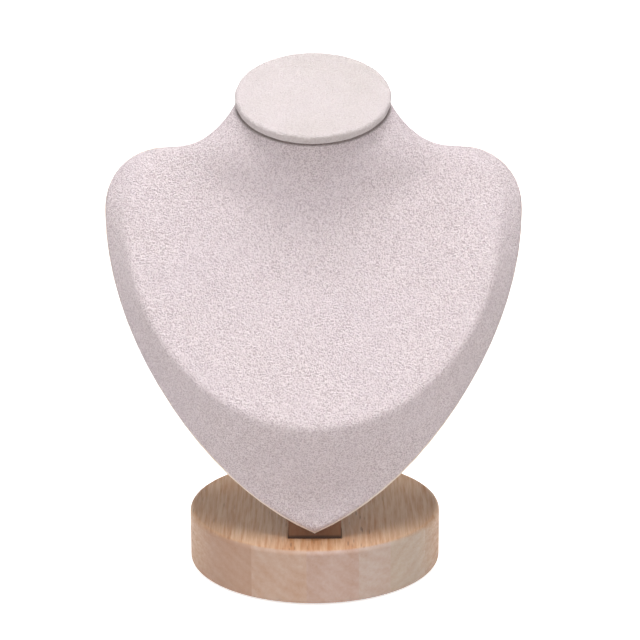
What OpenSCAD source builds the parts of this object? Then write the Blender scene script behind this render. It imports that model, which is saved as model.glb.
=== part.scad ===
// Necklace stand: a fabric-covered bust that leans back on a wooden post, set in a round wooden base.
// Millimetres. The origin is the middle of the underside of the base, +Z is up and the bust faces -Y.

/* [Base] */
// Diameter of the wooden base
base_d = 100; // [90:1:130]
// Thickness of the wooden base, without its pad
base_h = 22; // [18:0.5:30]
// Radius of the rounded upper edge of the base
base_top_r = 1.9; // [0.5:0.1:5]
// Radius of the eased lower edge of the base
base_low_r = 1.5; // [0.5:0.1:4]
// Diameter of the pad under the base
pad_d = 92; // [70:1:95]
// Thickness of the pad
pad_t = 0.8; // [0.5:0.1:3]

/* [Post] */
// Width of the post
post_w = 20.5; // [16:0.5:26]
// Thickness of the post
post_t = 10; // [8:0.5:12]
// Length of the post above the base
post_up = 82; // [74:1:100]
// Length of the post inside its mortise
post_sunk = 13; // [9:0.5:13]
// Radius of the rounded upper corners of the post
post_corner_r = 3; // [1:0.5:6]
// Distance from the front of the base to the face of the post
post_inset = 13.6; // [11:0.2:24]
// Gap between the post and each side of its mortise
mortise_gap = 0.3; // [0.1:0.05:0.5]
// Angle by which the post and the bust lean back
lean = 15; // [8:0.5:20]

/* [Bust outline] */
// Width of the bust at its widest
bust_w = 160.4; // [150:0.2:175]
// Height of the lower tip, along the post above the base
tip_v = 2.9; // [2.5:0.1:8]
// Angle between each lower edge and the level, at the tip
tip_rise = 23.5; // [18:0.5:30]
// Reach of the lower edge's curve from the tip
tip_reach = 44; // [35:0.5:48]
// Height of the widest place
side_v = 128; // [122:0.2:132]
// Reach of the side's curve below the widest place
side_reach_low = 52.6; // [44:0.2:58]
// Reach of the side's curve above the widest place
side_reach_high = 16; // [12:0.5:19]
// Height of the shoulder's top
shoulder_v = 151.7; // [149:0.1:156]
// Half width at which the shoulder's top ends and the neck starts
shoulder_u = 58.5; // [54:0.5:62]
// Reach of the shoulder's curve
shoulder_reach = 9; // [8:0.5:16]

/* [Bust front] */
// Height of the crease at the middle of the front
crease_v = 45.4; // [40:0.1:52]
// Depth of the crease at the middle, from the face of the post
crease_w = 30.5; // [22:0.5:34]
// Fall of the crease towards the neck, in mm per mm of height
crease_fall = 0.19; // [0.1:0.01:0.2]
// Reach of the crease's curve from the middle
crease_reach = 38; // [32:0.5:44]
// Reach of the crease's curve below its widest place
crease_side_reach = 46; // [38:0.5:54]
// Reach of the crease's curve above its widest place
crease_top_reach = 15; // [9:0.5:18]
// Width of the bevel between the crease and the side at the widest place
bevel_side = 9; // [7:0.1:13]
// Least angle between the bevel and the back board
bevel_angle = 39.5; // [33:0.5:45]
// Angle between the flat lip above the tip and the back board
lip_angle = 3; // [0:0.5:12]
// Softness of the fold between the bevel and the lip
lip_fold = 3; // [1:0.2:6]
// Radius of the rounded crease
crease_r = 3; // [1.5:0.1:5]
// Height of the rim behind the bevel
rim_h = 3.2; // [2.4:0.1:5]
// Radius of the rim's rounded edge
rim_r = 1.6; // [0.8:0.1:2.2]
// Depth of the chest's pull, a third of the way up the middle
chest_w = 20.5; // [18:0.5:25]
// Depth of the throat's pull, two thirds of the way up the middle
throat_w = 6; // [4:0.5:13]

/* [Cap] */
// Width of the oval cap
cap_w = 59.2; // [54:0.2:66]
// Depth of the oval cap, front to back
cap_d = 49; // [44:0.2:52]
// Angle by which the cap faces forwards from level
cap_angle = 28.4; // [22:0.2:34]
// Height of the middle of the cap's underside, along the bust
cap_v = 168.6; // [165:0.1:176]
// Depth of the middle of the cap's underside, from the face of the post
cap_w_mid = 16; // [15:0.1:20]
// Thickness of the board inside the cap
cap_board_t = 3; // [2.4:0.1:4]
// Thickness of the fabric on the cap
cap_fabric_t = 0.6; // [0.5:0.1:1]
// Width of the fabric that is turned under the cap
cap_hem = 6; // [4:0.5:10]
// Radius of the cap's soft edge
cap_edge_r = 1.3; // [0.9:0.1:1.6]
// Amount by which the cap stands out over the sides of the neck
cap_overhang = 0.6; // [0.4:0.1:2]
// Amount by which it stands out over the front of the neck
cap_front_overhang = 1.4; // [0.4:0.1:2.4]
// Radius of the neck's rounded upper edge
neck_edge_r = 1.2; // [0.9:0.1:1.6]

/* [Skins] */
// Thickness of the fabric on the bust
fabric_t = 0.8; // [0.5:0.1:1.2]
// Thickness of the board on the back of the bust
board_t = 2; // [1.5:0.1:3]
// Amount by which the back board stands out beyond the fabric at the tip
board_proud = 0.6; // [0.3:0.1:1.2]
// Amount by which it stands out at the sides and the shoulders
board_side_proud = 0.2; // [0:0.1:1.2]
// Thickness of the fabric that lines the back
lining_t = 0.8; // [0.5:0.1:1.2]
// Distance from the edge of the back board to the edge of its lining
lining_inset = 1; // [0.5:0.1:3]

/* [Screws] */
// Diameter of the screw shanks
screw_d = 3.5; // [3:0.1:4]
// Diameter of the countersunk heads
head_d = 7; // [6:0.1:8]
// Length of the screws that hold the bust on the post
bust_screw_l = 21; // [17:0.5:23]
// Height of the lower screw in the post
screw_low_v = 30; // [27:1:34]
// Height of the upper screw in the post
screw_high_v = 64; // [58:1:68]
// Length of the screw that holds the post in the base
base_screw_l = 15; // [12:0.5:15]
// Clearance round a screw in the piece that its head pulls
screw_gap = 0.25; // [0.1:0.05:0.4]

/* [Hidden] */

base_top = pad_t + base_h;
foot_y = post_inset - base_d / 2;
board_w = lining_t;
core_w = lining_t + board_t;

// The cap's plane, as directions in the bust's own height and depth
cap_slope = lean + cap_angle;
cap_down = [0, -sin(cap_slope), cos(cap_slope)];
cap_out = [0, cos(cap_slope), sin(cap_slope)];
cap_mid = [0, cap_v, cap_w_mid];
neck_a = cap_w / 2 - cap_overhang;
neck_b = cap_d / 2 - cap_front_overhang;
// The neck's oval at a depth under the cap and a distance inside its own edge: the corner behind, where the
// back board cuts it off, its side and its front
function neck_oval(depth, inset) = let (mid = cap_mid - depth * cap_out,
    a = neck_a - inset, b = neck_b - inset,
    cut = (mid[2] - core_w) / cap_down[2], chord = a * sqrt(1 - pow(cut / b, 2)))
    [mid - cut * cap_down + [chord, 0, 0], mid + [a, 0, 0], mid + b * cap_down];
// The loft ends under the neck's rounded edge
neck_end = neck_oval(neck_edge_r, 0);
neck_back = neck_end[0];
neck_side = neck_end[1];
neck_front = neck_end[2];

// Ribs from the tip to the widest place, on to the shoulder's top, and up to the neck's rounded edge,
// which has ribs of its own at these angles
RIBS = [18, 11, 11];
BODY_LAST = RIBS[0] + RIBS[1] + RIBS[2];
EDGE_ANGLES = [45, 90];
LAST = BODY_LAST + len(EDGE_ANGLES);
// Steps round a rounded corner of a rib, along its bevel, and across the chest
CORNER_STEPS = [0, 0.25, 0.5, 0.75, 1];
RIM_STEPS = [0, 0.5, 1];
BEVEL_STEPS = [0.13, 0.26, 0.39, 0.54, 0.72, 0.88];
CHEST_STEPS = 6;
// The same steps on an oval rib of the neck, behind its side and in front of it
BACK_OVAL_STEPS = [0, 0.06, 0.12, 0.2, 0.3, 0.4, 0.5, 0.6, 0.7, 0.8, 0.88, 0.94, 1];
FRONT_OVAL_STEPS = [0.04, 0.08, 0.22, 0.37, 0.53, 0.69, 0.85, 1];
// Handle lengths that make a quarter of an oval, and the part of it behind the neck's side
OVAL = 0.5523;
OVAL_BACK = [0.628, 0.233, 0.395];
$fn = 96;

function bezier(p, t) = pow(1 - t, 3) * p[0] + 3 * pow(1 - t, 2) * t * p[1]
    + 3 * (1 - t) * t * t * p[2] + t * t * t * p[3];
function mix(a, b, t) = a + (b - a) * t;
function ease(a, b, x) = let (t = min(max((x - a) / (b - a), 0), 1)) t * t * (3 - 2 * t);
function unit(v) = v / norm(v);
// The places between which a rib's form changes from the body's to the neck's
NECK_BLEND = [1.5, 2.6];
DEPTH_BLEND = [1.8, 3];
TILT_BLEND = [2, 3];
function rib_place(i) = i <= RIBS[0] ? i / RIBS[0]
    : i <= RIBS[0] + RIBS[1] ? 1 + (i - RIBS[0]) / RIBS[1]
    : 2 + (i - RIBS[0] - RIBS[1]) / RIBS[2];

// The bust is lofted in its own frame: u to the right, v up the post, w forwards from the post.
// A rib runs from the back edge, over the bevel, round the crease and across the chest to the middle.
// Its place s is 0 at the tip, 1 at the widest place, 2 at the shoulder's top and 3 at the cap.
half_w = bust_w / 2;
// Slope of the edge at the shoulder's top, and the pull of the edge where it turns up to the cap
shoulder_rise = 2;
edge_turn = [5, 1];
EDGE_LOW = [[0, tip_v], [tip_reach * cos(tip_rise), tip_v + tip_reach * sin(tip_rise)],
    [half_w, side_v - side_reach_low], [half_w, side_v]];
EDGE_HIGH = [[half_w, side_v], [half_w, side_v + side_reach_high],
    [shoulder_u + shoulder_reach, shoulder_v - shoulder_reach * tan(shoulder_rise)],
    [shoulder_u, shoulder_v]];
EDGE_NECK = [[shoulder_u, shoulder_v], [shoulder_u - shoulder_reach, shoulder_v],
    [neck_back[0] + edge_turn[0], shoulder_v + edge_turn[1]], [neck_back[0], neck_back[1]]];
function back_edge(s) = let (p = s <= 1 ? bezier(EDGE_LOW, s) : s <= 2 ? bezier(EDGE_HIGH, s - 1)
    : bezier(EDGE_NECK, s - 2)) [p[0], p[1], core_w];

// The crease is widest a little lower than the edge, and it ends a little inside the shoulder's top
crease_drop = 3;
crease_u = half_w - bevel_side;
crease_side_v = side_v - crease_drop;
crease_end_in = 5;
crease_end_up = 0.4;
crease_end_fall = 0.4;
crease_end = [shoulder_u - crease_end_in, shoulder_v + crease_end_up];
// Pulls of the neck's side line at its foot and under the cap
neck_foot_pull = [-12, -1.4];
neck_top_pull = [3.6, -5.2];
CREASE_LOW = [[0, crease_v], [crease_reach, crease_v], [crease_u, crease_side_v - crease_side_reach],
    [crease_u, crease_side_v]];
CREASE_HIGH = [[crease_u, crease_side_v], [crease_u, crease_side_v + crease_top_reach],
    crease_end + [shoulder_reach, -crease_end_fall], crease_end];
neck_top = [neck_side[0], neck_side[1]];
NECK_SIDE = [crease_end, crease_end + neck_foot_pull, neck_top + neck_top_pull, neck_top];
function crease_depth(v) = crease_w - crease_fall * (v - crease_v);
function side_line(s) = let (p = s <= 1 ? bezier(CREASE_LOW, s) : s <= 2 ? bezier(CREASE_HIGH, s - 1)
    : bezier(NECK_SIDE, s - 2))
    [p[0], p[1], mix(crease_depth(p[1]), neck_side[2], ease(DEPTH_BLEND[0], DEPTH_BLEND[1], s))];

// The middle of the front, from just above the crease to the neck's rounded edge
middle_start = 6;
MIDDLE_SHARES = [0, 0.6, 0.8, 1];
function middle_v(s) = let (k = min(floor(s), 2))
    mix(crease_v + middle_start, neck_front[1], mix(MIDDLE_SHARES[k], MIDDLE_SHARES[k + 1], s - k));
function middle_w(v) = bezier([crease_w, chest_w, throat_w, neck_front[2]],
    (v - crease_v) / (neck_front[1] - crease_v));
function middle_line(s) = let (v = middle_v(s)) [0, v, middle_w(v)];

// A rib of the body: the rim, the bevel with the lip above the tip, the rounded crease and the chest
lip_gain = 12;
shoulder_r = 8;
RIM_SHARE = 0.25;
CREASE_SHARE = 0.5;
CHEST_SHARE = 0.4;
CHEST_PULLS = [0.33, 0.45, 0.4];
function soft_max(a, b, k) = (a + b + sqrt((a - b) * (a - b) + k * k)) / 2;
function bevel_point(e, m, t) = let (p = mix(e, m, t), run = norm([m[0] - e[0], m[1] - e[1]]),
    rise = m[2] - e[2], slope = max(rise / run, tan(bevel_angle)), fold = max(slope - rise / run, 0),
    lip = e[2] + tan(lip_angle) * run * t, bevel = m[2] - slope * run * (1 - t))
    [p[0], p[1], mix(p[2], soft_max(bevel, lip, lip_fold), min(fold * lip_gain, 1))];
function corner(a, b, c, t) = mix(mix(a, b, t), mix(b, c, t), t);
function body_rib(s, b, m, f) = let (e = b + [0, 0, rim_h], run = norm(m - e),
    r = mix(crease_r, shoulder_r, ease(1, 2, s)), rim_end = min(rim_r / run, RIM_SHARE),
    low_end = 1 - min(r / run, CREASE_SHARE),
    level = mix(m, f, CHEST_PULLS[0]), pull = [level[0], level[1], mix(m[2], f[2], CHEST_PULLS[1])],
    chest = [m, pull, f + [CHEST_PULLS[2] * m[0], 0, 0], f],
    high_start = min(r / (3 * norm(pull - m)), CHEST_SHARE), p = bevel_point(e, m, rim_end),
    q = bevel_point(e, m, low_end), c = bezier(chest, high_start))
    concat([b], [for (t = RIM_STEPS) corner(e - [0, 0, rim_r], e, p, t)],
    [for (t = BEVEL_STEPS) bevel_point(e, m, mix(rim_end, low_end, t))],
    [for (t = CORNER_STEPS) corner(q, m, c, t)],
    [for (k = [1 : CHEST_STEPS]) bezier(chest, mix(high_start, 1, k / CHEST_STEPS))]);
// A rib of the neck: part of an oval, from the back edge round the side to the middle of the front
neck_tilt = 12;
function neck_rib(s, b, m, f) = let (tilt = mix(neck_tilt, cap_slope, ease(TILT_BLEND[0], TILT_BLEND[1], s)),
    along = [0, -sin(tilt), cos(tilt)],
    back = (m - b) * along, reach = (f - m) * along,
    low = [b, b + [OVAL_BACK[0] * (m[0] - b[0]), 0, 0] + OVAL_BACK[1] * back * along,
    m - OVAL_BACK[2] * back * along, m], high = [m, m + OVAL * reach * along, f + [OVAL * m[0], 0, 0], f])
    concat([for (t = BACK_OVAL_STEPS) bezier(low, t)], [for (t = FRONT_OVAL_STEPS) bezier(high, t)]);
function rib(s) = let (b = back_edge(s), m = side_line(s), f = middle_line(s),
    blend = ease(NECK_BLEND[0], NECK_BLEND[1], s))
    blend == 0 ? body_rib(s, b, m, f) : mix(body_rib(s, b, m, f), neck_rib(s, b, m, f), blend);
function edge_rib(angle) = let (o = neck_oval(neck_edge_r * (1 - sin(angle)), neck_edge_r * (1 - cos(angle))))
    neck_rib(3, o[0], o[1], o[2]);
SKIN = concat([for (i = [0 : BODY_LAST]) rib(rib_place(i))], [for (angle = EDGE_ANGLES) edge_rib(angle)]);
COLUMNS = len(SKIN[0]) - 1;

// The right half's ribs are numbered from 0 at the tip, and the left half's are the same below zero.
function mirrored(p) = [-p[0], p[1], p[2]];
function skin_point(i, j) = i < 0 ? mirrored(SKIN[-i][j]) : SKIN[i][j];
// Steps along the ribs' row and along the rib, which are level across the middle
function step_up(i, j) = i == 0 && j == COLUMNS ? SKIN[1][j] - SKIN[0][j - 1]
    : skin_point(min(i + 1, LAST), j) - skin_point(i - 1, j);
function step_in(i, j) = j < COLUMNS ? SKIN[i][j + 1] - SKIN[i][max(j - 1, 0)]
    : mirrored(SKIN[max(i, 1)][j - 1]) - SKIN[max(i, 1)][j - 1];
// The inner face of the fabric, which ends in the plane of the back board and in the plane under the cap
function under_fabric(i, j) = let (p = SKIN[i][j] + fabric_t * unit(cross(step_in(i, j), step_up(i, j))),
    q = i == LAST ? p - ((p - cap_mid) * cap_out) * cap_out : p)
    j > 0 ? q : [q[0], i == LAST ? SKIN[LAST][0][1] : q[1], core_w];
CORE = [for (i = [0 : LAST]) [for (j = [0 : COLUMNS]) under_fabric(i, j)]];

// Points of both halves, column by column, with the middle line once
function all_points(grid) = concat([for (j = [0 : COLUMNS - 1]) for (i = [-LAST : LAST])
    i < 0 ? mirrored(grid[-i][j]) : grid[i][j]], [for (i = [0 : LAST]) grid[i][COLUMNS]]);
ROW = 2 * LAST + 1;
FIRST_INNER = COLUMNS * ROW + LAST + 1;
function at(i, j) = j < COLUMNS ? j * ROW + i + LAST : COLUMNS * ROW + abs(i);
FRONT_FACES = [for (i = [-LAST : LAST - 1]) for (j = [0 : COLUMNS - 1])
    let (a = at(i, j), b = at(i, j + 1), c = at(i + 1, j + 1), d = at(i + 1, j))
    each i < 0 ? [[a, b, c], [a, c, d]] : [[a, b, d], [b, c, d]]];
// The flat back is laid in strips from side to side, because its outline is hollow beside the neck
BACK_FACES = [for (i = [0 : LAST - 1])
    [at(-i - 1, 0), each i > 0 ? [at(-i, 0)] : [], at(i, 0), at(i + 1, 0)]];
NECK_FACE = concat([for (j = [0 : COLUMNS]) at(LAST, j)], [for (j = [1 : COLUMNS]) at(-LAST, COLUMNS - j)]);
RIM = concat([for (i = [-LAST : LAST]) at(i, 0)], [for (j = [1 : COLUMNS]) at(LAST, j)],
    [for (j = [1 : COLUMNS - 1]) at(-LAST, COLUMNS - j)]);

// The outline of the fabric's back edge, grown by a distance at the tip and one at the sides, and cut off
// below a height
BOARD_BLEND = [0.3, 0.6];
function grown_edge(i, d) = let (a = skin_point(i - (i > -LAST ? 1 : 0), 0),
    b = skin_point(min(i + 1, LAST), 0), t = unit([b[0] - a[0], b[1] - a[1]]), p = skin_point(i, 0))
    [p[0] + d * t[1], p[1] - d * t[0]];
module back_outline(tip, side, drop) {
    points = [for (i = [-LAST : LAST])
        grown_edge(i, mix(tip, side, ease(BOARD_BLEND[0], BOARD_BLEND[1], rib_place(abs(i)))))];
    polygon([for (p = points) [p[0], min(p[1], SKIN[LAST][0][1] - drop)]]);
}

module bust_frame() {
    translate([0, foot_y, base_top]) rotate([90 - lean, 0, 0]) children();
}

module cap_frame() {
    bust_frame() translate(cap_mid) rotate([cap_slope - 90, 0, 0]) children();
}

// An oval about the cap's middle, at a distance inside the cap's edge
OVAL_POINTS = 72;
function oval_points(inset) = [for (k = [0 : OVAL_POINTS - 1]) let (a = 360 * k / OVAL_POINTS)
    [(cap_w / 2 - inset) * cos(a), (cap_d / 2 - inset) * sin(a)]];

module base_profile() {
    r = base_d / 2;
    square([r - max(base_top_r, base_low_r), base_h]);
    translate([0, base_low_r]) square([r, base_h - base_top_r - base_low_r]);
    translate([0, base_h - base_top_r]) square([r - base_top_r, base_top_r]);
    square([r - base_low_r, base_low_r]);
    translate([r - base_top_r, base_h - base_top_r]) circle(base_top_r);
    translate([r - base_low_r, base_low_r]) circle(base_low_r);
}

// A countersunk screw that points along +Z, with the top of its head at the origin
head_h = (head_d - screw_d) / 2;
head_rim = 0.4;
tip_l = screw_d;
tip_d = 0.6;
slot_l = 0.56 * head_d;
slot_w = 0.13 * head_d;
slot_depth = 1.6;
// A cut starts this far outside the face that it opens
over = 1;
module screw_body(l) {
    cylinder(d = head_d, h = head_rim);
    translate([0, 0, head_rim]) cylinder(d1 = head_d, d2 = screw_d, h = head_h);
    cylinder(d = screw_d, h = l - tip_l);
    translate([0, 0, l - tip_l]) cylinder(d1 = screw_d, d2 = tip_d, h = tip_l);
}
module screw(l) {
    difference() {
        screw_body(l);
        for (a = [0, 90]) rotate(a) translate([-slot_l / 2, -slot_w / 2, -over])
            cube([slot_l, slot_w, slot_depth + over]);
    }
}
// The hole for a screw in the piece that its head pulls, and the hole that its thread cuts
module screw_seat(l) {
    translate([0, 0, -over]) cylinder(d = head_d, h = head_rim + over);
    translate([0, 0, head_rim]) cylinder(d1 = head_d, d2 = screw_d, h = head_h);
    cylinder(d = screw_d + 2 * screw_gap, h = l);
}

// The screw in the base meets the middle of the post's thickness this far down the mortise
base_screw_share = 0.6;
base_screw_y = foot_y - base_screw_share * post_sunk * sin(lean) + post_t / 2 * cos(lean);
module at_base_screw() {
    translate([0, base_screw_y, pad_t]) children();
}
module at_bust_screws() {
    bust_frame() for (v = [screw_low_v, screw_high_v]) translate([0, v, -post_t]) children();
}

module base() {
    color("burlywood") difference() {
        translate([0, 0, pad_t]) rotate_extrude() base_profile();
        bust_frame() translate([-post_w / 2 - mortise_gap, -post_sunk - mortise_gap, -post_t - mortise_gap])
            cube([post_w + 2 * mortise_gap, post_sunk + base_h, post_t + 2 * mortise_gap]);
        at_base_screw() screw_seat(base_h / 2);
    }
}

module base_pad() {
    color("dimgray") cylinder(d = pad_d, h = pad_t);
}

module base_screw() {
    color("silver") at_base_screw() screw(base_screw_l);
}

module post() {
    color("burlywood") difference() {
        bust_frame() translate([0, 0, -post_t]) linear_extrude(post_t) {
            translate([-post_w / 2, -post_sunk]) square([post_w, post_sunk + post_up - post_corner_r]);
            translate([post_corner_r - post_w / 2, 0]) square([post_w - 2 * post_corner_r, post_up]);
            for (x = [-1, 1]) translate([x * (post_w / 2 - post_corner_r), post_up - post_corner_r])
                circle(post_corner_r);
        }
        at_base_screw() cylinder(d = screw_d, h = base_screw_l);
        at_bust_screws() screw_seat(post_t + over);
    }
}

module bust_screws() {
    color("silver") at_bust_screws() screw(bust_screw_l);
}

module bust_core() {
    color("tan") difference() {
        bust_frame() polyhedron(all_points(CORE), concat(FRONT_FACES, BACK_FACES, [NECK_FACE]), 10);
        at_bust_screws() cylinder(d = screw_d, h = bust_screw_l);
    }
}

// The fabric is drawn over the front and the sides, and its two edges lie under the cap and on the back board
module bust_cover() {
    inner = [for (f = FRONT_FACES) [f[2] + FIRST_INNER, f[1] + FIRST_INNER, f[0] + FIRST_INNER]];
    edge = [for (k = [0 : len(RIM) - 1]) let (a = RIM[k], b = RIM[(k + 1) % len(RIM)])
        each [[a, b, b + FIRST_INNER], [a, b + FIRST_INNER, a + FIRST_INNER]]];
    color("mistyrose") bust_frame()
        polyhedron(concat(all_points(SKIN), all_points(CORE)), concat(FRONT_FACES, inner, edge), 10);
}

// The back board ends this far below the neck's back edge
board_drop = 0.2;
module back_board() {
    color("antiquewhite") difference() {
        bust_frame() translate([0, 0, board_w]) linear_extrude(board_t)
            back_outline(board_proud, board_side_proud, board_drop);
        at_bust_screws() cylinder(d = screw_d + 2 * screw_gap, h = post_t + core_w + over);
    }
}

module back_lining() {
    color("mistyrose") difference() {
        bust_frame() linear_extrude(lining_t)
            back_outline(board_proud - lining_inset, board_side_proud - lining_inset, lining_inset);
        at_bust_screws() cylinder(d = screw_d + 2 * screw_gap, h = post_t + core_w + over);
    }
}

module cap_board() {
    color("antiquewhite") cap_frame() translate([0, 0, cap_fabric_t]) linear_extrude(cap_board_t)
        polygon(oval_points(cap_fabric_t));
}

// The fabric is wrapped over the cap's board with a soft edge, and its hem is turned under
cap_t = cap_board_t + 2 * cap_fabric_t;
CAP_ROUND = 4;
function cap_ring(inset, z) = [for (p = oval_points(inset)) [p[0], p[1], z]];
module cap_cover() {
    r = cap_edge_r;
    low_edge = [for (k = [0 : CAP_ROUND]) let (a = 90 * k / CAP_ROUND)
        cap_ring(r - r * sin(a), r - r * cos(a))];
    top_edge = [for (k = [0 : CAP_ROUND]) let (a = 90 * k / CAP_ROUND)
        cap_ring(r - r * cos(a), cap_t - r + r * sin(a))];
    rings = concat([cap_ring(2 * r, 0)], low_edge, top_edge, [cap_ring(2 * r, cap_t)]);
    top = (len(rings) - 1) * OVAL_POINTS;
    faces = [for (j = [0 : OVAL_POINTS : top - 1]) for (k = [0 : OVAL_POINTS - 1])
        let (a = j + k, b = j + (k + 1) % OVAL_POINTS)
        each [[a, a + OVAL_POINTS, b + OVAL_POINTS], [a, b + OVAL_POINTS, b]]];
    low_face = [for (k = [0 : OVAL_POINTS - 1]) k];
    top_face = [for (k = [1 : OVAL_POINTS]) top + OVAL_POINTS - k];
    color("mistyrose") cap_frame() difference() {
        polyhedron([for (ring = rings) each ring], concat(faces, [low_face, top_face]), 10);
        translate([0, 0, cap_fabric_t]) linear_extrude(cap_board_t) polygon(oval_points(cap_fabric_t));
        translate([0, 0, -over]) linear_extrude(over + 1.5 * cap_fabric_t) polygon(oval_points(cap_hem));
    }
}

base();
base_pad();
base_screw();
post();
bust_screws();
bust_core();
bust_cover();
back_board();
back_lining();
cap_board();
cap_cover();
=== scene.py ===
import math

import bmesh
import bpy
from mathutils import Matrix, Vector, noise


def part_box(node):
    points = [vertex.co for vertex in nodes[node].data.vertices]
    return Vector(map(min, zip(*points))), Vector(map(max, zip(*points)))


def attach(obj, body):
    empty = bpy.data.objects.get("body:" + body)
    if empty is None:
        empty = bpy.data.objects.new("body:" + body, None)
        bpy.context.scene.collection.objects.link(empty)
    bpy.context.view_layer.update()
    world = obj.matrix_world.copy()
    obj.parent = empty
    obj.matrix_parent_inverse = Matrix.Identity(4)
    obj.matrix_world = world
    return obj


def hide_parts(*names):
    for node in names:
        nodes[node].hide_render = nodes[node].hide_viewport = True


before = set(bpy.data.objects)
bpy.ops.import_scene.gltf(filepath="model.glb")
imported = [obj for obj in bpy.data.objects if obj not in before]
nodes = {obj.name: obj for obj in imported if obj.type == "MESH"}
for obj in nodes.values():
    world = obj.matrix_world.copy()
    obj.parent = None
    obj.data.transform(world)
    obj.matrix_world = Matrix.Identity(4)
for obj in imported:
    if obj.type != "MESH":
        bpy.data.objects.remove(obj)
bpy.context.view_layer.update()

# Studio: the stand is photographed on a white sweep, a little from above and from about a metre away.
# The camera was fitted to the outline of the round base. Lengths are in metres, as in all that follows.
TARGET = Vector((0.00235, 0.0, 0.10025))
DISTANCE = 1.0
LOOK_DOWN = math.radians(17.82)
ROLL = math.radians(-0.2)
LENS_MM = 143.07
SENSOR_MM = 36

camera = bpy.data.objects.new("camera", bpy.data.cameras.new("camera"))
camera.data.lens = LENS_MM
camera.data.sensor_width = SENSOR_MM
camera.location = TARGET + DISTANCE * Vector((0, -math.cos(LOOK_DOWN), math.sin(LOOK_DOWN)))
turn = Matrix.Rotation(math.pi / 2 - LOOK_DOWN, 4, "X") @ Matrix.Rotation(ROLL, 4, "Z")
camera.rotation_euler = turn.to_euler()
bpy.context.collection.objects.link(camera)
bpy.context.scene.camera = camera
bpy.context.scene.view_settings.view_transform = "Standard"


def linear(code):
    """The linear colour, with alpha, of an sRGB hex code."""
    parts = [int(code[i : i + 2], 16) / 255 for i in (1, 3, 5)]
    return [c / 12.92 if c <= 0.04045 else ((c + 0.055) / 1.055) ** 2.4 for c in parts] + [1]


def feed(tree, node, inputs):
    """Gives a node its inputs; each is a constant or the output that is linked to it."""
    for key, value in inputs.items():
        if isinstance(value, bpy.types.NodeSocket):
            tree.links.new(value, node.inputs[key])
        else:
            node.inputs[key].default_value = value


def add(tree, kind, inputs, **settings):
    """Adds a node with its settings and its inputs."""
    node = tree.nodes.new(kind)
    for key, value in settings.items():
        setattr(node, key, value)
    feed(tree, node, inputs)
    return node


def seen_directly(tree):
    """1 for the rays that show the surroundings: to the camera, in a reflection and through glass."""
    path = add(tree, "ShaderNodeLightPath", {}).outputs
    seen = path["Is Camera Ray"]
    for ray in ("Is Glossy Ray", "Is Transmission Ray"):
        seen = add(tree, "ShaderNodeMath", {0: seen, 1: path[ray]}, operation="MAXIMUM").outputs[0]
    return seen


# The room is white where it is seen, and lights the stand only faintly
AMBIENT = 0.1
world = bpy.data.worlds.new("white_room")
world.use_nodes = True
bpy.context.scene.world = world
tree = world.node_tree
strength = add(tree, "ShaderNodeMath", {0: seen_directly(tree), 1: 1 - AMBIENT, 2: AMBIENT},
               operation="MULTIPLY_ADD").outputs[0]
feed(tree, tree.nodes["Background"], {"Color": (1, 1, 1, 1), "Strength": strength})

# A softbox overhead, a little to the front, and a weaker one on each side
LAMP_DISTANCE = 2.0
LAMPS = [
    # Name, degrees above the table, degrees to the left of the front, width, power in watts
    ("top_softbox", 75, 0, 1.0, 36.0),
    ("left_softbox", 40, 60, 1.2, 14.5),
    ("right_softbox", 40, -60, 1.2, 13.5),
]
for name, up, left, size, watts in LAMPS:
    up, left = math.radians(up), math.radians(left)
    aim = Vector((-math.sin(left) * math.cos(up), -math.cos(left) * math.cos(up), math.sin(up)))
    lamp = bpy.data.objects.new(name, bpy.data.lights.new(name, "AREA"))
    lamp.data.size = size
    lamp.data.energy = watts
    lamp.location = TARGET + LAMP_DISTANCE * aim
    lamp.rotation_euler = aim.to_track_quat("Z", "Y").to_euler()
    bpy.context.collection.objects.link(lamp)

# The sweep is matt white paper. It glows where the camera sees it, so that it looks white and still
# takes the stand's shadow.
FLOOR_HALF = 4.0
FLOOR_GLOW = 0.78
bm = bmesh.new()
bmesh.ops.create_grid(bm, x_segments=1, y_segments=1, size=FLOOR_HALF)
floor_mesh = bpy.data.meshes.new("floor")
bm.to_mesh(floor_mesh)
bm.free()
floor = bpy.data.objects.new("floor", floor_mesh)
bpy.context.collection.objects.link(floor)
sweep = bpy.data.materials.new("white_paper_sweep")
sweep.use_nodes = True
tree = sweep.node_tree
paper = tree.nodes["Principled BSDF"]
feed(tree, paper, {"Base Color": linear("#EDEBE9"), "Roughness": 0.9, "Specular IOR Level": 0.1})
glow = add(tree, "ShaderNodeMath", {0: seen_directly(tree), 1: FLOOR_GLOW}, operation="MULTIPLY").outputs[0]
white = add(tree, "ShaderNodeEmission", {"Color": (1, 1, 1, 1), "Strength": glow}).outputs[0]
both = add(tree, "ShaderNodeAddShader", {0: paper.outputs[0], 1: white}).outputs[0]
feed(tree, tree.nodes["Material Output"], {"Surface": both})
floor_mesh.materials.append(sweep)

# Base: a disc turned from a board of edge-glued rubberwood staves, whose grain runs from front to back.
# Its rim is rounded over, it is sanded fine and it has a thin clear oil. The mortise is cut at a slant.
#
# Rubberwood is pale and straight-grained, with soft growth rings, streaks of fine fibres and broader bands.
# Its open pores show as short dark dashes along the grain, and hardly at all on the pinker end grain.
# The first four values are patterns per metre. The pores come out about 0.5 mm by 5 mm, which is wider
# than real ones, so that they show.
RINGS = 75  # 4 mm apart
FIBRES = 850  # 1.2 mm wide, with finer ones inside
BANDS = 130  # 8 mm wide
PORES = 760  # 1.3 mm from one to the next
FIBRE_STRETCH = (1, 0.05, 1)
PORE_STRETCH = (1, 0.12, 1)
PORE_CORE, PORE_EDGE = 0.14, 0.28  # from its middle, in parts of the distance between two
POROUS_FROM, POROUS_TO = 0.50, 0.62  # how brown a band is where its first and its last pores open
PORES_ON_END = 0.15
PORE_DEPTH = 1.2
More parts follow.
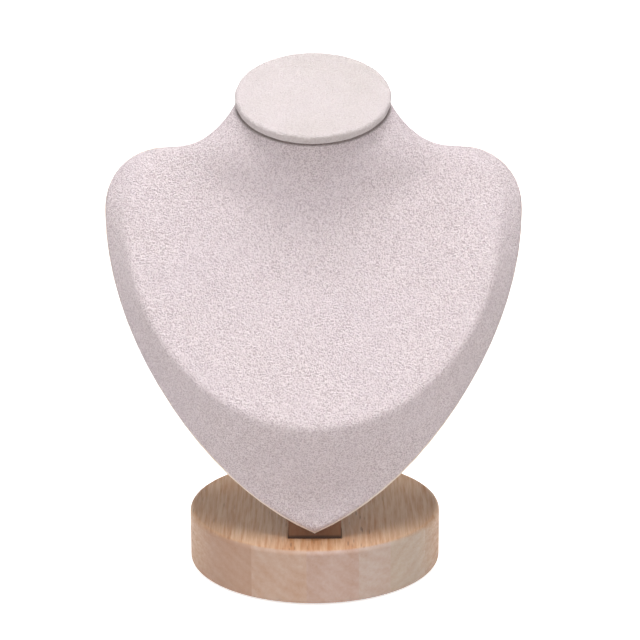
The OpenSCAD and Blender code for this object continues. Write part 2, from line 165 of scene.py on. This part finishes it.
END_FROM, END_FULL = 0.15, 0.6  # how squarely a face cuts the grain where end grain starts and is full
STREAKS, STREAKS_ON_END = 2.8, 0.5
RING_TONE = 0.10
BAND_TONE = 0.5
PORE_TONE = 0.8
WOOD_BROWN = "#D9B591"
PORE_BROWN = "#7C553C"
OIL_SMOOTH, OIL_ROUGH = 0.38, 0.56
WOOD_RELIEF = 0.00012
# How far one stave's place in the trunk may be from another's, and the width that the last one is given
TRUNK = (0.16, 1.0, 0.22)
LAST_STAVE = 0.05


def surface(name):
    """A new material, its node tree, its shader and the piece's own coordinates."""
    material = bpy.data.materials.new(name)
    material.use_nodes = True
    tree = material.node_tree
    place = add(tree, "ShaderNodeTexCoord", {}).outputs["Object"]
    return material, tree, tree.nodes["Principled BSDF"], place


def finish_with(node, material):
    """Gives a CAD node its finish."""
    nodes[node].data.materials.clear()
    nodes[node].data.materials.append(material)


def rubberwood(name, turned, long_grain, staves):
    """Oiled rubberwood; turned lays its grain along the pattern's Y, and staves gives the left edge of each
    and the colour of its end grain."""
    material, tree, shader, place = surface(name)
    laid = add(tree, "ShaderNodeMapping", {"Vector": place, "Rotation": turned}).outputs[0]

    # Which faces cut across the grain
    faces = add(tree, "ShaderNodeTexCoord", {}).outputs["Normal"]
    faces = add(tree, "ShaderNodeMapping", {"Vector": faces, "Rotation": turned},
                vector_type="NORMAL").outputs[0]
    facing = add(tree, "ShaderNodeSeparateXYZ", {0: faces}).outputs["Y"]
    facing = add(tree, "ShaderNodeMath", {0: facing}, operation="ABSOLUTE").outputs[0]
    end_grain = add(tree, "ShaderNodeMapRange",
                    {"Value": facing, "From Min": END_FROM, "From Max": END_FULL}).outputs[0]

    # Which stave it is
    first, last = staves[0][0], staves[-1][0] + LAST_STAVE
    across = add(tree, "ShaderNodeSeparateXYZ", {0: laid}).outputs["X"]
    share = add(tree, "ShaderNodeMapRange",
                {"Value": across, "From Min": first, "From Max": last}).outputs[0]
    stave = add(tree, "ShaderNodeValToRGB", {"Fac": share})
    stave.color_ramp.interpolation = "CONSTANT"
    marks = stave.color_ramp.elements
    marks[0].color = linear(staves[0][1])
    marks[1].position = (staves[1][0] - first) / (last - first)
    marks[1].color = linear(staves[1][1])
    for edge, colour in staves[2:]:
        marks.new((edge - first) / (last - first)).color = linear(colour)

    # Each stave comes from another part of the trunk, nearer to its heart or further out
    trees = add(tree, "ShaderNodeTexWhiteNoise", {"W": stave.outputs["Color"]}, noise_dimensions="1D")
    spot = add(tree, "ShaderNodeVectorMath", {0: trees.outputs["Color"], 1: (0.5, 0.5, 0.5)},
               operation="SUBTRACT").outputs[0]
    shift = add(tree, "ShaderNodeVectorMath", {0: spot, 1: TRUNK}, operation="MULTIPLY").outputs[0]
    trunk = add(tree, "ShaderNodeVectorMath", {0: laid, 1: shift}, operation="ADD").outputs[0]

    # Growth rings, fibres and bands
    rings = add(tree, "ShaderNodeTexWave",
                {"Vector": trunk, "Scale": RINGS, "Distortion": 5, "Detail": 3, "Detail Scale": 0.6,
                 "Detail Roughness": 0.65},
                wave_type="RINGS", rings_direction="Y").outputs["Fac"]
    drawn = add(tree, "ShaderNodeVectorMath", {0: trunk, 1: FIBRE_STRETCH}, operation="MULTIPLY").outputs[0]
    fibres = add(tree, "ShaderNodeTexNoise",
                 {"Vector": drawn, "Scale": FIBRES, "Detail": 4, "Roughness": 0.65}).outputs["Fac"]
    bands = add(tree, "ShaderNodeTexNoise", {"Vector": drawn, "Scale": BANDS, "Detail": 3}).outputs["Fac"]

    # Pores, in the darker bands and mostly on long grain
    dashes = add(tree, "ShaderNodeVectorMath", {0: trunk, 1: PORE_STRETCH}, operation="MULTIPLY").outputs[0]
    cells = add(tree, "ShaderNodeTexVoronoi", {"Vector": dashes, "Scale": PORES, "Randomness": 1})
    pores = add(tree, "ShaderNodeMapRange",
                {"Value": cells.outputs["Distance"], "From Min": PORE_CORE, "From Max": PORE_EDGE,
                 "To Min": 1, "To Max": 0}).outputs[0]
    porous = add(tree, "ShaderNodeMapRange",
                 {"Value": bands, "From Min": POROUS_FROM, "From Max": POROUS_TO}).outputs[0]
    pores = add(tree, "ShaderNodeMath", {0: pores, 1: porous}, operation="MULTIPLY").outputs[0]
    opened = add(tree, "ShaderNodeMath", {0: end_grain, 1: PORES_ON_END - 1, 2: 1},
                 operation="MULTIPLY_ADD").outputs[0]
    pores = add(tree, "ShaderNodeMath", {0: pores, 1: opened}, operation="MULTIPLY").outputs[0]

    # The browner late wood, the streaks and the bands add up; the streaks are faint on end grain
    brown = add(tree, "ShaderNodeMath", {0: rings, 1: RING_TONE, 2: RING_TONE},
                operation="MULTIPLY_ADD").outputs[0]
    streaks = add(tree, "ShaderNodeMath", {0: fibres, 1: 0.5}, operation="SUBTRACT").outputs[0]
    strong = add(tree, "ShaderNodeMath", {0: end_grain, 1: STREAKS_ON_END - STREAKS, 2: STREAKS},
                 operation="MULTIPLY_ADD").outputs[0]
    brown = add(tree, "ShaderNodeMath", {0: streaks, 1: strong, 2: brown},
                operation="MULTIPLY_ADD").outputs[0]
    brown = add(tree, "ShaderNodeMath", {0: bands, 1: BAND_TONE, 2: brown},
                operation="MULTIPLY_ADD").outputs[0]
    wood = add(tree, "ShaderNodeMix", {0: end_grain, 6: linear(long_grain), 7: stave.outputs["Color"]},
               data_type="RGBA").outputs[2]
    wood = add(tree, "ShaderNodeMix", {0: brown, 6: wood, 7: linear(WOOD_BROWN)},
               data_type="RGBA", blend_type="MULTIPLY").outputs[2]
    dark = add(tree, "ShaderNodeMath", {0: pores, 1: PORE_TONE}, operation="MULTIPLY").outputs[0]
    wood = add(tree, "ShaderNodeMix", {0: dark, 6: wood, 7: linear(PORE_BROWN)}, data_type="RGBA").outputs[2]

    # The oil lies unevenly on the fibres, and the pores stay open
    rough = add(tree, "ShaderNodeMapRange",
                {"Value": fibres, "To Min": OIL_SMOOTH, "To Max": OIL_ROUGH}).outputs[0]
    relief = add(tree, "ShaderNodeMath", {0: pores, 1: -PORE_DEPTH, 2: fibres},
                 operation="MULTIPLY_ADD").outputs[0]
    bump = add(tree, "ShaderNodeBump",
               {"Height": relief, "Strength": 0.35, "Distance": WOOD_RELIEF}).outputs[0]
    feed(tree, shader, {"Base Color": wood, "Roughness": rough, "Normal": bump, "Specular IOR Level": 0.4})
    return material


BASE_STAVES = [(-0.0510, "#B59988"), (-0.0250, "#BFA89A"), (-0.0032, "#BDA8A0"),
               (0.0170, "#BEAFA8"), (0.0290, "#BBAFA4"), (0.0430, "#B5A699")]
finish_with("base", rubberwood("oiled_rubberwood_base", (0, 0, 0), "#CFAC8D", BASE_STAVES))

# Pad: a disc of pressed wool felt, cut with a die and glued under the base, so that it doesn't
# scratch the table. It also hides the head of the screw.
PAD_LOW, PAD_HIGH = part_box("base_pad")
PAD_RADIUS = (PAD_HIGH.x - PAD_LOW.x) / 2
PAD_SEGMENTS = 128
PAD_EDGE = 0.00025
RIM_ANGLE = 1  # radians between two faces, more than on the round side


def piece_of(name, bm, material, slot, *replaced):
    """Makes a piece of the object from a bmesh, with its finish, and lets it ride with the stand."""
    mesh = bpy.data.meshes.new(name)
    bm.to_mesh(mesh)
    bm.free()
    mesh.shade_smooth()
    mesh.materials.append(material)
    piece = bpy.data.objects.new(name, mesh)
    bpy.context.collection.objects.link(piece)
    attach(piece, "root")
    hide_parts(*replaced)
    return piece


# Felt has no weave: matted hairs run every way, in lighter and darker tufts about 4 mm wide. The hairs
# are drawn 0.7 mm wide, much coarser than real wool, so that they show.
felt, tree, shader, place = surface("pressed_wool_felt")
hairs = add(tree, "ShaderNodeTexNoise",
            {"Vector": place, "Scale": 1400, "Detail": 4, "Distortion": 1.4}).outputs["Fac"]
tufts = add(tree, "ShaderNodeTexNoise", {"Vector": place, "Scale": 260, "Detail": 2}).outputs["Fac"]
matted = add(tree, "ShaderNodeMath", {0: hairs, 1: tufts}, operation="MULTIPLY").outputs[0]
share = add(tree, "ShaderNodeMapRange", {"Value": matted, "From Min": 0.12, "From Max": 0.42}).outputs[0]
shade = add(tree, "ShaderNodeMix", {0: share, 6: linear("#3A332E"), 7: linear("#6B625A")},
            data_type="RGBA").outputs[2]
bump = add(tree, "ShaderNodeBump", {"Height": hairs, "Strength": 0.5, "Distance": 0.0002}).outputs[0]
feed(tree, shader, {"Base Color": shade, "Normal": bump, "Roughness": 0.95, "Specular IOR Level": 0.15,
                    "Sheen Weight": 0.2})

bm = bmesh.new()
bmesh.ops.create_circle(bm, segments=PAD_SEGMENTS, radius=PAD_RADIUS, cap_ends=True)
raised = bmesh.ops.extrude_face_region(bm, geom=bm.faces[:])
top = [v for v in raised["geom"] if isinstance(v, bmesh.types.BMVert)]
bmesh.ops.translate(bm, verts=top, vec=(0, 0, PAD_HIGH.z - PAD_LOW.z))
bmesh.ops.recalc_face_normals(bm, faces=bm.faces)
rims = [e for e in bm.edges if e.calc_face_angle(0) > RIM_ANGLE]
bmesh.ops.bevel(bm, geom=rims, offset=PAD_EDGE, offset_type="OFFSET", affect="EDGES", segments=3,
                profile=0.5, material=-1)
middle = (PAD_LOW + PAD_HIGH) / 2
bmesh.ops.translate(bm, verts=bm.verts, vec=(middle.x, middle.y, PAD_LOW.z))
pad = piece_of("felt_pad", bm, felt, "pad_felt", "base_pad")

# Post: a bar planed from rubberwood, its two upper corners rounded, glued in the slanted mortise.
# Its grain runs along it. It is one stave in one tint, a darker brown than the base: painted shade of the
# bust that overhangs it.
LEAN = math.radians(15)
POST_SHADED_TINT = "#88664F"
POST_STAVES = [(-0.050, POST_SHADED_TINT), (0.050, POST_SHADED_TINT)]
bar = rubberwood("oiled_rubberwood_post", (math.pi / 2 - LEAN, 0, 0), "#7E5D42", POST_STAVES)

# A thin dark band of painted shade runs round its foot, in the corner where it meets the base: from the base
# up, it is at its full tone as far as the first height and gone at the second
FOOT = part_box("base")[1].z
FOOT_SHADE_FULL, FOOT_SHADE_TOP = 0.0006, 0.0014
FOOT_SHADE_SHARE = 0.85
FOOT_SHADE_BROWN = "#2E1B10"
tree = bar.node_tree
place = add(tree, "ShaderNodeTexCoord", {}).outputs["Object"]
height = add(tree, "ShaderNodeSeparateXYZ", {0: place}).outputs["Z"]
painted_shade = add(tree, "ShaderNodeMapRange",
           {"Value": height, "From Min": FOOT + FOOT_SHADE_TOP, "From Max": FOOT + FOOT_SHADE_FULL,
            "To Max": FOOT_SHADE_SHARE}).outputs[0]
shader = tree.nodes["Principled BSDF"]
wood = shader.inputs["Base Color"].links[0].from_socket
# The painted shade darkens the wood towards a deep brown near the foot
wood = add(tree, "ShaderNodeMix", {0: painted_shade, 6: wood, 7: linear(FOOT_SHADE_BROWN)}, data_type="RGBA").outputs[2]
feed(tree, shader, {"Base Color": wood})
finish_with("post", bar)

# Screws: countersunk, with a cross recess, of cold-headed steel with a thin bright zinc plating.
# The plating has dull patches about 1 mm wide and a fine uneven grain, which is drawn 0.2 mm wide.
zinc, tree, shader, place = surface("zinc_plated_steel")
spots = add(tree, "ShaderNodeTexNoise", {"Vector": place, "Scale": 900, "Detail": 3}).outputs["Fac"]
shade = add(tree, "ShaderNodeMix", {0: spots, 6: linear("#B9B9B4"), 7: linear("#DADAD6")},
            data_type="RGBA").outputs[2]
rough = add(tree, "ShaderNodeMapRange", {"Value": spots, "To Min": 0.24, "To Max": 0.46}).outputs[0]
grain = add(tree, "ShaderNodeTexNoise", {"Vector": place, "Scale": 5200, "Detail": 2}).outputs["Fac"]
bump = add(tree, "ShaderNodeBump", {"Height": grain, "Strength": 0.15, "Distance": 0.00005}).outputs[0]
feed(tree, shader, {"Base Color": shade, "Roughness": rough, "Normal": bump, "Metallic": 1})
finish_with("base_screw", zinc)
finish_with("bust_screws", zinc)


# Core: wood fibre moulded under heat, brown and speckled by fibre bundles about 1 mm long. The fabric
# hides all of it.
def fibres_pressed(name, grain, dark, pale, roughness):
    """A stiff material of pressed fibres, with its grain in two tones and as a slight relief."""
    material, tree, shader, place = surface(name)
    specks = add(tree, "ShaderNodeTexNoise", {"Vector": place, **grain}).outputs["Fac"]
    shade = add(tree, "ShaderNodeMix", {0: specks, 6: linear(dark), 7: linear(pale)},
                data_type="RGBA").outputs[2]
    bump = add(tree, "ShaderNodeBump", {"Height": specks, "Strength": 0.3, "Distance": 0.0001}).outputs[0]
    feed(tree, shader, {"Base Color": shade, "Normal": bump, "Roughness": roughness})
    return material


wood_fibre = fibres_pressed("moulded_wood_fibre", {"Scale": 1100, "Detail": 5, "Roughness": 0.7},
                            "#7A5A3C", "#B4936C", 0.85)
finish_with("bust_core", wood_fibre)

# Boards: dense cream greyboard of pressed fibres, die-cut, behind the bust and inside the cap. Only the
# cut edge of the back board shows, as a thin pale line along the lower sides, in tones that vary a little.
greyboard = fibres_pressed("cream_greyboard", {"Scale": 800, "Detail": 4, "Roughness": 0.6},
                           "#FFEAD9", "#FFF8F0", 0.8)
finish_with("back_board", greyboard)
finish_with("cap_board", greyboard)

# Cover: cream microsuede, a knitted cloth of very fine polyester fibres with a brushed nap. It is warmed
# and drawn over the core, so it has no folds. A thin band right under the cap is darkened as painted shade.
#
# The nap stands in short curled tufts of fine hairs, which give the surface its soft grain, and it lies
# slightly lighter or darker in broad patches. The first three values are patterns per metre. The tufts and
# hairs are drawn somewhat coarser than those of most microsuede, so that they show.
TUFTS = 1800  # 0.6 mm wide
HAIRS = 3600  # 0.3 mm wide
PATCHES = 30  # 33 mm wide
HAIR_SHARE = 0.3
NAP_DARK, NAP_PALE = 0.28, 0.82  # the heights up to which and from which the nap has its two tones
NAP_HEIGHT = 0.00065
PATCH_TINT = "#EADCE4"
PATCH_SHARE = 0.3
CAP_SHADE_GREY = "#6E5F58"
# From the cap's underside down, the painted shade is at its full tone as far as the first and gone at the
# second
CAP_SHADE_FULL, CAP_SHADE_LOW = 0.0014, 0.0022
CAP_TILT = math.radians(28.4)
CAP_UP = Vector((0, -math.sin(CAP_TILT), math.cos(CAP_TILT)))
CAP_UNDERSIDE = min(vertex.co.dot(CAP_UP) for vertex in nodes["cap_cover"].data.vertices)


def microsuede(name, standing, dark, pale, cap_shade):
    """The cloth's finish; standing is how far its tufts stand up, and the last is how dark the painted shade
    right under the cap makes it.
    """
    material, tree, shader, place = surface(name)
    curls = add(tree, "ShaderNodeTexNoise",
                {"Vector": place, "Scale": TUFTS, "Detail": 1, "Distortion": 0.2}).outputs["Fac"]
    tufts = add(tree, "ShaderNodeMapRange",
                {"Value": curls, "From Min": 0.25, "From Max": 0.75,
                 "To Min": 0.5 - standing / 2, "To Max": 0.5 + standing / 2}).outputs[0]
    hairs = add(tree, "ShaderNodeTexNoise",
                {"Vector": place, "Scale": HAIRS, "Detail": 2, "Roughness": 0.6}).outputs["Fac"]
    nap = add(tree, "ShaderNodeMath", {0: hairs, 1: HAIR_SHARE, 2: tufts},
              operation="MULTIPLY_ADD").outputs[0]
    tips = add(tree, "ShaderNodeMapRange",
               {"Value": nap, "From Min": NAP_DARK, "From Max": NAP_PALE}).outputs[0]
    fabric = add(tree, "ShaderNodeMix", {0: tips, 6: linear(dark), 7: linear(pale)},
                 data_type="RGBA").outputs[2]

    lie = add(tree, "ShaderNodeTexNoise",
              {"Vector": place, "Scale": PATCHES, "Detail": 2, "Distortion": 0.5}).outputs["Fac"]
    patches = add(tree, "ShaderNodeMapRange",
                  {"Value": lie, "From Min": 0.3, "From Max": 0.7,
                   "To Min": 0, "To Max": PATCH_SHARE}).outputs[0]
    fabric = add(tree, "ShaderNodeMix", {0: patches, 6: fabric, 7: linear(PATCH_TINT)},
                 data_type="RGBA").outputs[2]

    # Painted shade: a thin band just below the cap's underside is darkened towards a grey brown
    height = add(tree, "ShaderNodeVectorMath", {0: place, 1: CAP_UP},
                 operation="DOT_PRODUCT").outputs["Value"]
    painted_shade = add(tree, "ShaderNodeMapRange",
               {"Value": height, "From Min": CAP_UNDERSIDE - CAP_SHADE_LOW, "From Max": CAP_UNDERSIDE - CAP_SHADE_FULL,
                "To Min": 0, "To Max": cap_shade}).outputs[0]
    fabric = add(tree, "ShaderNodeMix", {0: painted_shade, 6: fabric, 7: linear(CAP_SHADE_GREY)},
                 data_type="RGBA").outputs[2]

    bump = add(tree, "ShaderNodeBump", {"Height": nap, "Strength": 1.0, "Distance": NAP_HEIGHT}).outputs[0]
    feed(tree, shader, {"Base Color": fabric, "Normal": bump, "Roughness": 0.95, "Specular IOR Level": 0.15,
                        "Sheen Weight": 0.1, "Sheen Roughness": 0.6})
    return material


drawn_suede = microsuede("cream_microsuede_bust", 1.0, "#CBB8BC", "#F8EBED", 0.8)

MERGE = 1e-6
NEARLY_FLAT = math.radians(30)
NEARLY_SQUARE = math.radians(60)
FOLD = math.radians(50)
COVER_FOLDS = 0.7  # crease of its folds at the rims, where 1 is sharp
COVER_SWELL = 0.00018
COVER_SWELL_WIDTH = 0.016


def cloth_from(node, folds):
    """A closed bmesh of a CAD node's cloth, in quads where it has pairs of triangles, with creased folds."""
    bm = bmesh.new()
    bm.from_mesh(nodes[node].data)
    bmesh.ops.remove_doubles(bm, verts=bm.verts, dist=MERGE)
    bmesh.ops.join_triangles(bm, faces=bm.faces, angle_face_threshold=NEARLY_FLAT,
                             angle_shape_threshold=NEARLY_SQUARE)
    creases = bm.edges.layers.float.new("crease_edge")
    for edge in bm.edges:
        if edge.calc_face_angle(0) > FOLD:
            edge[creases] = folds
    return bm


def rounded(piece, levels):
    """Rounds a piece of cloth by subdivision, and keeps the result as its mesh."""
    smooth = piece.modifiers.new("Subdivision", "SUBSURF")
    smooth.levels = smooth.render_levels = levels
    bpy.context.view_layer.update()
    settled = bpy.data.meshes.new_from_object(piece.evaluated_get(bpy.context.evaluated_depsgraph_get()))
    piece.modifiers.clear()
    piece.data = settled
    return settled


def stir(mesh, amount, width, share=lambda vertex: 1.0):
    """Moves the cloth a little in and out, in soft swells of the given width."""
    moves = [amount * share(v) * noise.noise(v.co / width) * v.normal for v in mesh.vertices]
    for vertex, move in zip(mesh.vertices, moves):
        vertex.co += move


cover = piece_of("suede_cover", cloth_from("bust_cover", COVER_FOLDS), drawn_suede, "microsuede",
                 "bust_cover")
stir(rounded(cover, 2), COVER_SWELL, COVER_SWELL_WIDTH)

# Lining: the same microsuede, cut a little smaller than the back board and glued flat on it, under the
# post. The glue and the press lay its nap flatter, as on the cap.
# Its two tones are darker and greyer than the cover's: painted shade that tones down the cap, which faces
# the overhead softbox.
pressed_shaded_suede = microsuede("cream_microsuede_pressed_shaded", 0.55, "#C2B6B3", "#D9D0CE", 0.0)
lining = piece_of("suede_lining", cloth_from("back_lining", 0.0), pressed_shaded_suede, "microsuede", "back_lining")

# Cap cover: the same microsuede, wrapped over the oval board, turned under and glued. The turned edge is
# soft and a bit lumpy, because the cloth gathers as it goes round the oval.
CAP_LUMPS = 0.0004
CAP_LUMP_WIDTH = 0.0035
# The cap's cloth carries the darker tones of painted shade
cap = piece_of("suede_cap", cloth_from("cap_cover", 0.0), pressed_shaded_suede, "microsuede", "cap_cover")
stir(rounded(cap, 2), CAP_LUMPS, CAP_LUMP_WIDTH, lambda vertex: 1 - abs(vertex.normal.dot(CAP_UP)))
